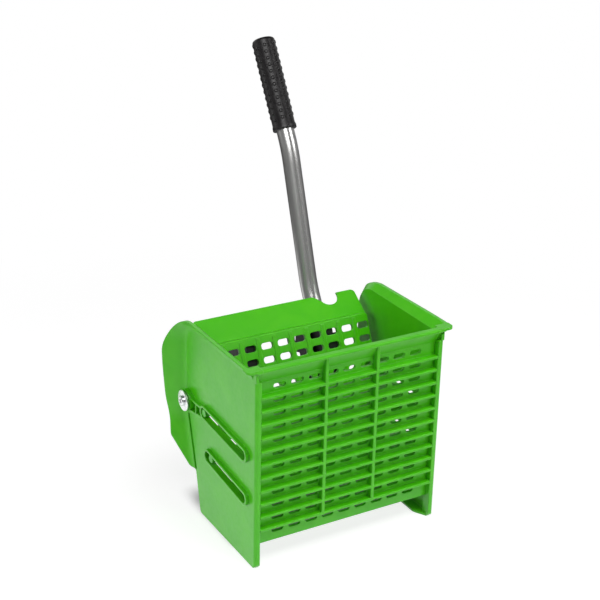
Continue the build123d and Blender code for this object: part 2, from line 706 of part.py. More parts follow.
def press_plate():
    """Perforated press plate, in its own upright frame."""
    span = (-PLATE_HALF, PLATE_HALF)
    inner_span = (PLATE_CORNER - PLATE_HALF, PLATE_HALF - PLATE_CORNER)
    plate = block(span, (PLATE_FACE, PLATE_BACK), (PLATE_BOTTOM, PLATE_TOP))
    plate = fillet(plate.edges().filter_by(Axis.Y).group_by(Axis.Z)[-1], PLATE_CORNER)
    plate = fillet(plate.edges().filter_by(Axis.X).group_by(Axis.Z)[-1].group_by(Axis.Y)[0], 1.8)
    shelf = (PLATE_BACK, STRIP_FOOT_Y + STRIP_THICK)
    plate += block(inner_span, shelf, (PLATE_TOP - SHELF_THICK, PLATE_TOP))
    plate += press_strip()
    plate += block(span, (PLATE_BACK, PLATE_BACK + 8), (PLATE_BOTTOM, PLATE_BOTTOM + SHELF_THICK))
    middle = (PLATE_COLUMNS - 1) / 2
    for column in range(PLATE_COLUMNS - 1):
        x = HOLE_PITCH * (column + 0.5 - middle)
        width = (x - RIDGE_WIDTH / 2, x + RIDGE_WIDTH / 2)
        plate += block(width, (PLATE_FACE - RIDGE_HEIGHT, PLATE_FACE), (PLATE_BOTTOM, PLATE_TOP - 4))
    for side in both(block((FLANGE_IN, PLATE_HALF), (PLATE_BACK, 4), (-PIN_SPACING - 14, 14))):
        plate += side
    for at in (UPPER_PIN, LOWER_PIN):
        for boss in both(rod(at, PIN_BOSS_RADIUS, FLANGE_IN, PLATE_HALF)):
            plate += boss
    plate -= rod(UPPER_PIN, ROD_RADIUS + RUN_FIT, -PLATE_HALF - 1, PLATE_HALF + 1)
    plate -= rod(LOWER_PIN, ROD_RADIUS, -PLATE_HALF - 1, PLATE_HALF + 1)
    hole = RectangleRounded(*PLATE_HOLE, PLATE_HOLE_ROUND)
    places = [
        (HOLE_PITCH * (column - middle), height)
        for height in plate_row_heights()
        for column in range(PLATE_COLUMNS)
    ]
    drain = Plane.XZ.offset(-PLATE_BACK - 1) * (Sketch() + [Pos(*place) * hole for place in places])
    plate -= extrude(drain, PLATE_THICK + 2)
    for screw in both(bracket_screw_bars()):
        plate -= screw
    return plate


def bracket_screw_places():
    """Heights of the bracket screws, between the rows of holes."""
    return [PLATE_ROW_TOP - RIB_PITCH * (row + 0.5) for row in range(2)]


def bracket_screw_bars():
    """Shanks of the right bracket's screws, in the plate's frame."""
    seat = Plane.XZ.offset(-PLATE_BACK - BRACKET_FLANGE)
    circles = [Pos(BRACKET_SCREW_X, z) * Circle(BRACKET_SCREW_RADIUS) for z in bracket_screw_places()]
    return extrude(seat * (Sketch() + circles), BRACKET_FLANGE + BRACKET_SCREW_BITE)


def bracket_screws():
    """Screws of both brackets, in the plate's frame."""
    screws = []
    seat = Plane.XZ.offset(-PLATE_BACK - BRACKET_FLANGE)
    for z in bracket_screw_places():
        head = extrude(seat * Pos(BRACKET_SCREW_X, z) * Circle(BRACKET_SCREW_HEAD), -2.4)
        recess = RectangleRounded(4.4, 1.1, 0.3) + RectangleRounded(1.1, 4.4, 0.3)
        head -= extrude(seat.offset(-2.4) * Pos(BRACKET_SCREW_X, z) * recess, 1)
        shank = seat * Pos(BRACKET_SCREW_X, z) * Circle(BRACKET_SCREW_RADIUS)
        screw = head + extrude(shank, BRACKET_FLANGE + BRACKET_SCREW_BITE)
        screws += [side.solid() for side in both(screw)]
    return screws


def right_drive_bracket():
    """Black bracket behind the plate with the curved cam slot, in the plate's frame."""
    path = [roller_in_plate(step / CAM_STEPS) for step in range(CAM_STEPS + 1)]
    slot_width = 2 * (ROLLER_RADIUS + ROLLER_PLAY)
    reach = slot_width / 2 + BRACKET_MARGIN
    edges = [edge for at in path for edge in (Pos(*at) * Circle(reach)).edges()]
    foot = Line((PLATE_BACK, BRACKET_FLANGE_Z[0]), (PLATE_BACK, BRACKET_FLANGE_Z[1]))
    lug = (Pos(*UPPER_PIN) * Circle(-PLATE_BACK)).edges()
    bracket = across(make_hull([*edges, *foot.edges()]), BRACKET_IN, BRACKET_OUT)
    bracket += across(make_hull([*lug, *foot.edges()]), BRACKET_IN, BRACKET_OUT)
    flange_y = (PLATE_BACK, PLATE_BACK + BRACKET_FLANGE)
    bracket += block((BRACKET_FLANGE_IN, BRACKET_FLANGE_OUT), flange_y, BRACKET_FLANGE_Z)
    bracket += block((BRACKET_FLANGE_IN, BRACKET_OUT), flange_y, (BRACKET_FLANGE_Z[0], BRACKET_TAB_TOP))
    slot = Sketch() + [obround(path[step], path[step + 1], slot_width) for step in range(CAM_STEPS)]
    bracket -= across(slot, BRACKET_IN - 1, BRACKET_OUT + 1)
    bracket -= rod(UPPER_PIN, ROD_RADIUS + RUN_FIT, BRACKET_IN - 1, BRACKET_OUT + 1)
    return bracket - bracket_screw_bars()


def at_rest(piece):
    """A piece drawn in the plate's frame, put where the plate rests."""
    return TO_REST * piece


def middle_y():
    """Y half-way between the front of the rim and the rear of the grip."""
    shoulder = lean(-GRIP_TOP_ROUND, GRIP_LEAN, tube_points()[2])
    ring = GRIP_RADIUS - GRIP_TOP_ROUND
    rear = shoulder[0] + ring * cos(radians(GRIP_LEAN)) + GRIP_TOP_ROUND
    return (RIM_FRONT + rear) / 2


def save(name, piece):
    """Shift a piece to the stored frame and write it."""
    export_step(Pos(0, -middle_y(), -BASE_Z) * piece, f"parts/{name}.step")


def save_sides(name, piece):
    """Write a right piece and its mirror image as two nodes."""
    right, left = both(piece)
    save(f"right_{name}", right)
    save(f"left_{name}", left)


save("front_sieve", front_sieve())
save_sides("cheek", right_cheek())
save("axle_bushes", pair(axle_bush()))
save("cross_axle", cross_axle())
save("pivot_washers", pair(pivot_washer()))
save("pivot_screws", pair(pivot_screw()))
save_sides("crank_arm", right_crank_arm())
save("arm_set_screws", pair(arm_set_screw()))
save("crank_pins", pair(crank_pin()))
save("crank_pin_clips", pair(crank_pin_clip()))
save_sides("cam_roller", right_cam_roller())
save("handle_hub", handle_hub())
save("hub_screws", hub_screws())
save("handle_tube", handle_tube())
save("hand_grip", hand_grip())
save("upper_guide_rod", at_rest(guide_rod(UPPER_PIN)))
save("upper_guide_sleeves", at_rest(pair(guide_sleeve(UPPER_PIN))))
save("upper_rod_clips", at_rest(pair(rod_clip(UPPER_PIN))))
save("press_plate", at_rest(press_plate()))
save("lower_guide_rod", at_rest(guide_rod(LOWER_PIN)))
save("lower_guide_sleeves", at_rest(pair(guide_sleeve(LOWER_PIN))))
save("lower_rod_clips", at_rest(pair(rod_clip(LOWER_PIN))))
save_sides("drive_bracket", at_rest(right_drive_bracket()))
save("bracket_screws", at_rest(Compound(children=bracket_screws())))
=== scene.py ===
"""Looks of the mop wringer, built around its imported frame.

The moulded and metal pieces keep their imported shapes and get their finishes
here. The hand grip is built new, with its rows of raised studs. Lengths are in
metres, and a size that is written in millimetres says so in its name.
"""
import logging
import math
from dataclasses import dataclass
from enum import Enum
from typing import Any

import bmesh
import bpy
from mathutils import Matrix, Vector


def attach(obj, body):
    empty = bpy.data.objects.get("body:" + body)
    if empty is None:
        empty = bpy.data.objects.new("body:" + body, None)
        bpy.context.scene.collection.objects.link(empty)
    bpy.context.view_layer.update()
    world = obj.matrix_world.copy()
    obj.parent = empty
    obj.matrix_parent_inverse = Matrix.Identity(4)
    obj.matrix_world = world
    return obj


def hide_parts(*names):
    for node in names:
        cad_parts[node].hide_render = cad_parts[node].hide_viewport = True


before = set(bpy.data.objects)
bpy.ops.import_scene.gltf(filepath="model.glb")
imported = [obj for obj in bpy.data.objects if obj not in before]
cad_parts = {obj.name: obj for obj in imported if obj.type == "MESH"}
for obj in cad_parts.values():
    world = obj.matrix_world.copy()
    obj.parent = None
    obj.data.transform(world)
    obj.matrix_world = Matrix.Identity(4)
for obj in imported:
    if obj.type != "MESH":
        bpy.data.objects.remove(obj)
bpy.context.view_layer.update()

LOG = logging.getLogger("mop_wringer")
MM = 0.001
WHITE = (1.0, 1.0, 1.0, 1.0)

# The axle's line, which the turned washers are centred on
AXLE_Y_MM = -17.4156
AXLE_Z_MM = 158.0


class Slot(Enum):
    """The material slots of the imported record."""

    GREEN_PLASTIC = "green_plastic"
    GREEN_SLEEVE = "green_sleeve"
    WHITE_BUSH = "white_bush"
    BLACK_PLASTIC = "black_plastic"
    TUBE_STEEL = "tube_steel"
    BRIGHT_STEEL = "bright_steel"
    GRIP_RUBBER = "grip_rubber"


class Body(Enum):
    """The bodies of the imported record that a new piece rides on."""

    LEVER = "lever"


def linear(colour: str) -> tuple[float, float, float, float]:
    """Turn an sRGB hex colour into linear values.

    Args:
        colour: The colour as #RRGGBB.

    Returns:
        Red, green, blue and a full alpha.
    """
    parts = [int(colour[i:i + 2], 16) / 255 for i in (1, 3, 5)]
    red, green, blue = [
        part / 12.92 if part <= 0.04045 else ((part + 0.055) / 1.055) ** 2.4
        for part in parts
    ]
    return red, green, blue, 1.0


def per_metre(size_mm: float) -> float:
    """Give the texture scale whose features are about this size."""
    return 1.0 / (size_mm * MM)


def add_node(
    tree: bpy.types.NodeTree,
    kind: str,
    inputs: dict[str | int, Any] | None = None,
    **settings: Any,
) -> bpy.types.Node:
    """Add a node with its settings, and fill or link its inputs.

    Args:
        tree: The node tree that gets the node.
        kind: Blender's name for the type of node.
        inputs: Values or output sockets, by the input's name or number.
        **settings: Properties that are set on the node itself.

    Returns:
        The new node.
    """
    node = tree.nodes.new(kind)
    for name, value in settings.items():
        setattr(node, name, value)
    for key, value in (inputs or {}).items():
        if isinstance(value, bpy.types.NodeSocket):
            tree.links.new(value, node.inputs[key])
        else:
            node.inputs[key].default_value = value
    return node


@dataclass(frozen=True)
class Finish:
    """A real material and the way its surface was made."""

    name: str

    def start(self) -> tuple[bpy.types.Material, bpy.types.NodeTree, bpy.types.Node, bpy.types.NodeSocket]:
        """Start the material.

        Returns:
            The material, its tree, its shader and the Object coordinates.
        """
        material = bpy.data.materials.new(self.name)
        material.use_nodes = True
        tree = material.node_tree
        shader = tree.nodes["Principled BSDF"]
        place = add_node(tree, "ShaderNodeTexCoord").outputs["Object"]
        return material, tree, shader, place

    def material(self) -> bpy.types.Material:
        """Make the material's nodes; each finish has its own."""
        raise NotImplementedError


@dataclass(frozen=True)
class MouldedPlastic(Finish):
    """Injection moulded plastic with a fine spark-eroded mould grain.

    The mould gives an even satin face. The melt leaves faint flow clouds in
    the colour, and thick walls sink a little as they cool. Edges get a painted
    pale highlight, broken into patches.
    """

    colour: str
    cloud: str
    edge_highlight: str
    roughness: float
    ior: float
    edge_mm: float = 0.8
    cloud_mm: float = 45.0
    sink_mm: float = 24.0
    # The real grain is about 0.15 mm; it is drawn coarser so that it shows
    grain_mm: float = 1.1
    grain_depth_mm: float = 0.03
    sink_depth_mm: float = 0.10
    patch_mm: float = 6.0
    edge_highlight_share: float = 0.7
    cloud_range: tuple[float, float] = (0.35, 0.68)
    patch_range: tuple[float, float] = (0.3, 0.7)
    # How far an edge turns the face, from where the painted edge highlight starts to where it is full
    edge_highlight_range: tuple[float, float] = (0.995, 0.85)
    roughness_spread: float = 0.05

    def material(self) -> bpy.types.Material:
        """Make the moulded plastic.

        Returns:
            The finished material.
        """
        material, tree, shader, place = self.start()
        soft = add_node(
            tree, "ShaderNodeBevel", {"Radius": self.edge_mm * MM}, samples=6,
        ).outputs["Normal"]
        face = add_node(tree, "ShaderNodeNewGeometry").outputs["Normal"]
        clouds = add_node(tree, "ShaderNodeTexNoise", {
            "Vector": place, "Scale": per_metre(self.cloud_mm),
            "Detail": 3.0, "Roughness": 0.55, "Distortion": 0.6,
        }).outputs["Fac"]
        tint = add_node(tree, "ShaderNodeMapRange", {
            "Value": clouds, "From Min": self.cloud_range[0], "From Max": self.cloud_range[1],
        }, interpolation_type="SMOOTHSTEP").outputs["Result"]
        base = add_node(tree, "ShaderNodeMix", {
            0: tint, 6: linear(self.colour), 7: linear(self.cloud),
        }, data_type="RGBA").outputs[2]
        square = add_node(tree, "ShaderNodeVectorMath", {
            0: soft, 1: face,
        }, operation="DOT_PRODUCT").outputs["Value"]
        patches = add_node(tree, "ShaderNodeTexNoise", {
            "Vector": place, "Scale": per_metre(self.patch_mm), "Detail": 2.0,
        }).outputs["Fac"]
        # Painted pale highlight along edges, where the softened normal turns away from the face, in
        # patches
        bend = add_node(tree, "ShaderNodeMapRange", {
            "Value": square, "From Min": self.edge_highlight_range[0], "From Max": self.edge_highlight_range[1],
        }).outputs["Result"]
        edge_highlight_patches = add_node(tree, "ShaderNodeMath", {
            0: bend, 1: patches,
        }, operation="MULTIPLY").outputs["Value"]
        edge_highlight_amount = add_node(tree, "ShaderNodeMath", {
            0: edge_highlight_patches, 1: self.edge_highlight_share,
        }, operation="MULTIPLY", use_clamp=True).outputs["Value"]
        painted = add_node(tree, "ShaderNodeMix", {
            0: edge_highlight_amount, 6: base, 7: linear(self.edge_highlight),
        }, data_type="RGBA").outputs[2]
        tree.links.new(painted, shader.inputs["Base Color"])
        gloss = add_node(tree, "ShaderNodeMapRange", {
            "Value": patches, "From Min": self.patch_range[0], "From Max": self.patch_range[1],
            "To Min": self.roughness - self.roughness_spread,
            "To Max": self.roughness + self.roughness_spread,
        }).outputs["Result"]
        tree.links.new(gloss, shader.inputs["Roughness"])
        sinks = add_node(tree, "ShaderNodeTexNoise", {
            "Vector": place, "Scale": per_metre(self.sink_mm), "Detail": 0.0,
        }).outputs["Fac"]
        wavy = add_node(tree, "ShaderNodeBump", {
            "Height": sinks, "Distance": self.sink_depth_mm * MM,
            "Strength": 1.0, "Normal": soft,
        }).outputs["Normal"]
        grain = add_node(tree, "ShaderNodeTexNoise", {
            "Vector": place, "Scale": per_metre(self.grain_mm), "Detail": 2.0,
        }).outputs["Fac"]
        pitted = add_node(tree, "ShaderNodeBump", {
            "Height": grain, "Distance": self.grain_depth_mm * MM,
            "Strength": 1.0, "Normal": wavy,
        }).outputs["Normal"]
        tree.links.new(pitted, shader.inputs["Normal"])
        shader.inputs["IOR"].default_value = self.ior
        return material


@dataclass(frozen=True)
class DrawnSteelTube(Finish):
    """Cold drawn steel tube with a satin polish along its length.

    Drawing leaves fine lines that run with the tube, so reflections are
    smeared across it and broken into lengthwise streaks.
    """

    colour: str
    streak: str
    roughness: float
    axis_x_mm: float
    # The two corners where the legs meet, as Y and Z, and the lean of each leg
    low_corner_mm: tuple[float, float]
    high_corner_mm: tuple[float, float]
    leans: tuple[float, float, float]
    bend_half_mm: float = 26.0
    # The real lines are about 0.1 mm apart; they are drawn coarser to show
    line_mm: float = 1.3
    line_length_mm: float = 90.0
    line_depth_mm: float = 0.0025
    line_range: tuple[float, float] = (0.35, 0.65)
    band_mm: float = 7.0
    band_range: tuple[float, float] = (0.3, 0.7)
    roughness_spread: float = 0.05

    def across(self, tree: bpy.types.NodeTree, place: bpy.types.NodeSocket) -> bpy.types.NodeSocket:
        """Make coordinates that run along the bent tube.

        Args:
            tree: The material's tree.
            place: The Object coordinates.

        Returns:
            A vector of two distances across the tube and a slow one along it.
        """
        parts = add_node(tree, "ShaderNodeSeparateXYZ", {0: place}).outputs
        corners = (self.low_corner_mm, self.low_corner_mm, self.high_corner_mm)
        sides = []
        for lean, corner in zip(self.leans, corners):
            turn = math.radians(lean)
            square = Vector((0.0, math.cos(turn), -math.sin(turn)))
            start = Vector((0.0, corner[0], corner[1])) * MM
            dot = add_node(tree, "ShaderNodeVectorMath", {
                0: place, 1: square,
            }, operation="DOT_PRODUCT").outputs["Value"]
            sides.append(add_node(tree, "ShaderNodeMath", {
                0: dot, 1: square.dot(start),
            }, operation="SUBTRACT").outputs["Value"])
        side = sides[0]
        for corner, leg in zip((self.low_corner_mm, self.high_corner_mm), sides[1:]):
            past = add_node(tree, "ShaderNodeMapRange", {
                "Value": parts["Z"],
                "From Min": (corner[1] - self.bend_half_mm) * MM,
                "From Max": (corner[1] + self.bend_half_mm) * MM,
            }, interpolation_type="SMOOTHSTEP").outputs["Result"]
            side = add_node(tree, "ShaderNodeMix", {
                0: past, 2: side, 3: leg,
            }, data_type="FLOAT").outputs[0]
        level = add_node(tree, "ShaderNodeMath", {
            0: parts["X"], 1: self.axis_x_mm * MM,
        }, operation="SUBTRACT").outputs["Value"]
        slow = add_node(tree, "ShaderNodeMath", {
            0: parts["Z"], 1: self.line_mm / self.line_length_mm,
        }, operation="MULTIPLY").outputs["Value"]
        return add_node(tree, "ShaderNodeCombineXYZ", {
            0: level, 1: side, 2: slow,
        }).outputs[0]

    def material(self) -> bpy.types.Material:
        """Make the drawn tube steel.

        Returns:
            The finished material.
        """
        material, tree, shader, place = self.start()
        run = self.across(tree, place)
        lines = add_node(tree, "ShaderNodeTexNoise", {
            "Vector": run, "Scale": per_metre(self.line_mm), "Detail": 3.0,
        }).outputs["Fac"]
        bands = add_node(tree, "ShaderNodeTexNoise", {
            "Vector": run, "Scale": per_metre(self.band_mm), "Detail": 1.0,
        }).outputs["Fac"]
        tint = add_node(tree, "ShaderNodeMapRange", {
            "Value": lines, "From Min": self.line_range[0], "From Max": self.line_range[1],
        }).outputs["Result"]
        colour = add_node(tree, "ShaderNodeMix", {
            0: tint, 6: linear(self.colour), 7: linear(self.streak),
        }, data_type="RGBA").outputs[2]
        tree.links.new(colour, shader.inputs["Base Color"])
        gloss = add_node(tree, "ShaderNodeMapRange", {
            "Value": bands, "From Min": self.band_range[0], "From Max": self.band_range[1],
            "To Min": self.roughness - self.roughness_spread,
            "To Max": self.roughness + self.roughness_spread,
        }).outputs["Result"]
        tree.links.new(gloss, shader.inputs["Roughness"])
        relief = add_node(tree, "ShaderNodeBump", {
            "Height": lines, "Distance": self.line_depth_mm * MM, "Strength": 1.0,
        }).outputs["Normal"]
        tree.links.new(relief, shader.inputs["Normal"])
        shader.inputs["Metallic"].default_value = 1.0
        return material


@dataclass(frozen=True)
class ZincPlatedSteel(Finish):
    """Turned steel with bright zinc plating.

    The lathe leaves rings about the axle, and the plating has a slightly
    cloudy, cool white shine.
    """

    colour: str
    cloud: str
    roughness: float
    # The real rings are about 0.2 mm apart; they are drawn coarser to show
    ring_mm: float = 0.9
    ring_depth_mm: float = 0.006
    cloud_mm: float = 5.0
    cloud_range: tuple[float, float] = (0.35, 0.65)
    gloss_range: tuple[float, float] = (0.3, 0.7)
    smoother: float = 0.04
    rougher: float = 0.06

    def material(self) -> bpy.types.Material:
        """Make the plated steel.

        Returns:
            The finished material.
        """
        material, tree, shader, place = self.start()
        centred = add_node(tree, "ShaderNodeMapping", {
            "Vector": place, "Location": (0.0, -AXLE_Y_MM * MM, -AXLE_Z_MM * MM),
        }).outputs["Vector"]
        rings = add_node(tree, "ShaderNodeTexWave", {
            "Vector": centred, "Scale": per_metre(self.ring_mm) / (2 * math.pi),
            "Distortion": 0.4, "Detail": 2.0,
        }, wave_type="RINGS", rings_direction="X").outputs["Fac"]
        clouds = add_node(tree, "ShaderNodeTexNoise", {
            "Vector": place, "Scale": per_metre(self.cloud_mm), "Detail": 3.0,
        }).outputs["Fac"]
        tint = add_node(tree, "ShaderNodeMapRange", {
            "Value": clouds, "From Min": self.cloud_range[0], "From Max": self.cloud_range[1],
        }).outputs["Result"]
        colour = add_node(tree, "ShaderNodeMix", {
            0: tint, 6: linear(self.colour), 7: linear(self.cloud),
        }, data_type="RGBA").outputs[2]
        tree.links.new(colour, shader.inputs["Base Color"])
        gloss = add_node(tree, "ShaderNodeMapRange", {
            "Value": clouds, "From Min": self.gloss_range[0], "From Max": self.gloss_range[1],
            "To Min": self.roughness - self.smoother, "To Max": self.roughness + self.rougher,
        }).outputs["Result"]
        tree.links.new(gloss, shader.inputs["Roughness"])
        relief = add_node(tree, "ShaderNodeBump", {
            "Height": rings, "Distance": self.ring_depth_mm * MM, "Strength": 1.0,
        }).outputs["Normal"]
        tree.links.new(relief, shader.inputs["Normal"])
        shader.inputs["Metallic"].default_value = 1.0
        return material


@dataclass(frozen=True)
class MouldedRubber(Finish):
    """Black rubber, moulded in a blasted mould.

    It is nearly black with a soft grey shine, finely matt between its studs
    and a little polished where hands wear it.
    """

    colour: str
    bloom: str
    roughness: float
    ior: float = 1.52
    bloom_mm: float = 9.0
    # The real grain is about 0.1 mm; it is drawn coarser so that it shows
    grain_mm: float = 0.8
    grain_depth_mm: float = 0.05
    bloom_range: tuple[float, float] = (0.35, 0.7)
    gloss_range: tuple[float, float] = (0.3, 0.7)
    roughness_spread: float = 0.06

    def material(self) -> bpy.types.Material:
        """Make the moulded rubber.

        Returns:
            The finished material.
        """
        material, tree, shader, place = self.start()
        clouds = add_node(tree, "ShaderNodeTexNoise", {
            "Vector": place, "Scale": per_metre(self.bloom_mm), "Detail": 4.0,
        }).outputs["Fac"]
        grain = add_node(tree, "ShaderNodeTexNoise", {
            "Vector": place, "Scale": per_metre(self.grain_mm), "Detail": 2.0,
        }).outputs["Fac"]
        tint = add_node(tree, "ShaderNodeMapRange", {
            "Value": clouds, "From Min": self.bloom_range[0], "From Max": self.bloom_range[1],
        }).outputs["Result"]
        colour = add_node(tree, "ShaderNodeMix", {
            0: tint, 6: linear(self.colour), 7: linear(self.bloom),
        }, data_type="RGBA").outputs[2]
        tree.links.new(colour, shader.inputs["Base Color"])
        gloss = add_node(tree, "ShaderNodeMapRange", {
            "Value": clouds, "From Min": self.gloss_range[0], "From Max": self.gloss_range[1],
            "To Min": self.roughness - self.roughness_spread,
            "To Max": self.roughness + self.roughness_spread,
        }).outputs["Result"]
        tree.links.new(gloss, shader.inputs["Roughness"])
        relief = add_node(tree, "ShaderNodeBump", {
            "Height": grain, "Distance": self.grain_depth_mm * MM, "Strength": 1.0,
        }).outputs["Normal"]
        tree.links.new(relief, shader.inputs["Normal"])
        shader.inputs["IOR"].default_value = self.ior
        return material


FINISHES: dict[Slot, Finish] = {
    Slot.GREEN_PLASTIC: MouldedPlastic(
        name="moulded_polypropylene_green", colour="#46BA06", cloud="#4EC00C",
        edge_highlight="#7AD45A", roughness=0.33, ior=1.49, edge_mm=1.5,
    ),
    Slot.GREEN_SLEEVE: MouldedPlastic(
        name="moulded_acetal_green", colour="#3DB010", cloud="#46B81A",
        edge_highlight="#74CC55", roughness=0.32, ior=1.48, cloud_mm=12.0, sink_mm=9.0,
        edge_mm=0.4,
    ),
    Slot.WHITE_BUSH: MouldedPlastic(
        name="moulded_acetal_white", colour="#E6E5DF", cloud="#DCDBD4",
        edge_highlight="#F2F1EC", roughness=0.38, ior=1.48, cloud_mm=10.0, edge_mm=0.4,
    ),
    Slot.BLACK_PLASTIC: MouldedPlastic(
        name="moulded_nylon_black", colour="#0B0B0C", cloud="#0F0F10",
        edge_highlight="#222223", roughness=0.58, ior=1.45, cloud_mm=16.0,
    ),
    Slot.TUBE_STEEL: DrawnSteelTube(
        name="drawn_steel_tube", colour="#D2D2D0", streak="#DEDEDC", roughness=0.29,
        axis_x_mm=82.0, low_corner_mm=(46.6, 246.5), high_corner_mm=(110.7, 437.5),
        leans=(35.9, 18.55, 30.9),
    ),
    Slot.BRIGHT_STEEL: ZincPlatedSteel(
        name="zinc_plated_steel", colour="#ECEDEE", cloud="#DCDEE0", roughness=0.28,
    ),
    Slot.GRIP_RUBBER: MouldedRubber(
        name="moulded_rubber_black", colour="#131112", bloom="#191718", roughness=0.38,
    ),
}


class Palette:
    """Makes each finish once and hands its material out."""

    def __init__(self) -> None:
        """Start with no material made."""
        self.made: dict[Slot, bpy.types.Material] = {}

    def get(self, slot: Slot) -> bpy.types.Material:
        """Give a slot's material.

        Args:
            slot: The record's material slot.

        Returns:
            The material, made on the first call.
        """
        if slot not in self.made:
            self.made[slot] = FINISHES[slot].material()
        return self.made[slot]


@dataclass
class SubAssembly:
    """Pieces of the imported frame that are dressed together."""

    title: str
    nodes: dict[Slot, tuple[str, ...]]

    def dress(self, palette: Palette) -> None:
        """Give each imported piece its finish.

        Args:
            palette: The materials.
        """
        for slot, names in self.nodes.items():
            for name in names:
                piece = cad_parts[name]
                for place in piece.material_slots:
                    place.material = palette.get(slot)
                LOG.info("%s: %s in %s", self.title, name, palette.get(slot).name)


class HopperBody(SubAssembly):
    """The body that stands on its feet: sieve front, cheeks and axle bushes."""

    def __init__(self) -> None:
        """Name the body's pieces."""
        super().__init__("hopper body", {
            Slot.GREEN_PLASTIC: ("front_sieve", "left_cheek", "right_cheek"),
            Slot.WHITE_BUSH: ("axle_bushes",),
        })


class PressAssembly(SubAssembly):
    """The press plate with its guide rods, sleeves and drive brackets."""

    def __init__(self) -> None:
        """Name the press's pieces."""
        super().__init__("press", {
            Slot.GREEN_PLASTIC: ("press_plate",),
            Slot.GREEN_SLEEVE: ("upper_guide_sleeves", "lower_guide_sleeves"),
            Slot.BLACK_PLASTIC: ("left_drive_bracket", "right_drive_bracket"),
            Slot.BRIGHT_STEEL: (
                "upper_guide_rod", "lower_guide_rod", "upper_rod_clips",
                "lower_rod_clips", "bracket_screws",
            ),
        })


class LeverAssembly(SubAssembly):
    """The axle with its crank arms and rollers, and the handle on its hub."""

    def __init__(self) -> None:
        """Name the lever's pieces."""
        super().__init__("lever", {
            Slot.BLACK_PLASTIC: (
                "left_crank_arm", "right_crank_arm", "left_cam_roller",
                "right_cam_roller", "handle_hub",
            ),
            Slot.BRIGHT_STEEL: (
                "cross_axle", "pivot_washers", "pivot_screws", "crank_pins",
                "crank_pin_clips", "arm_set_screws", "hub_screws",
            ),
            Slot.TUBE_STEEL: ("handle_tube",),
        })


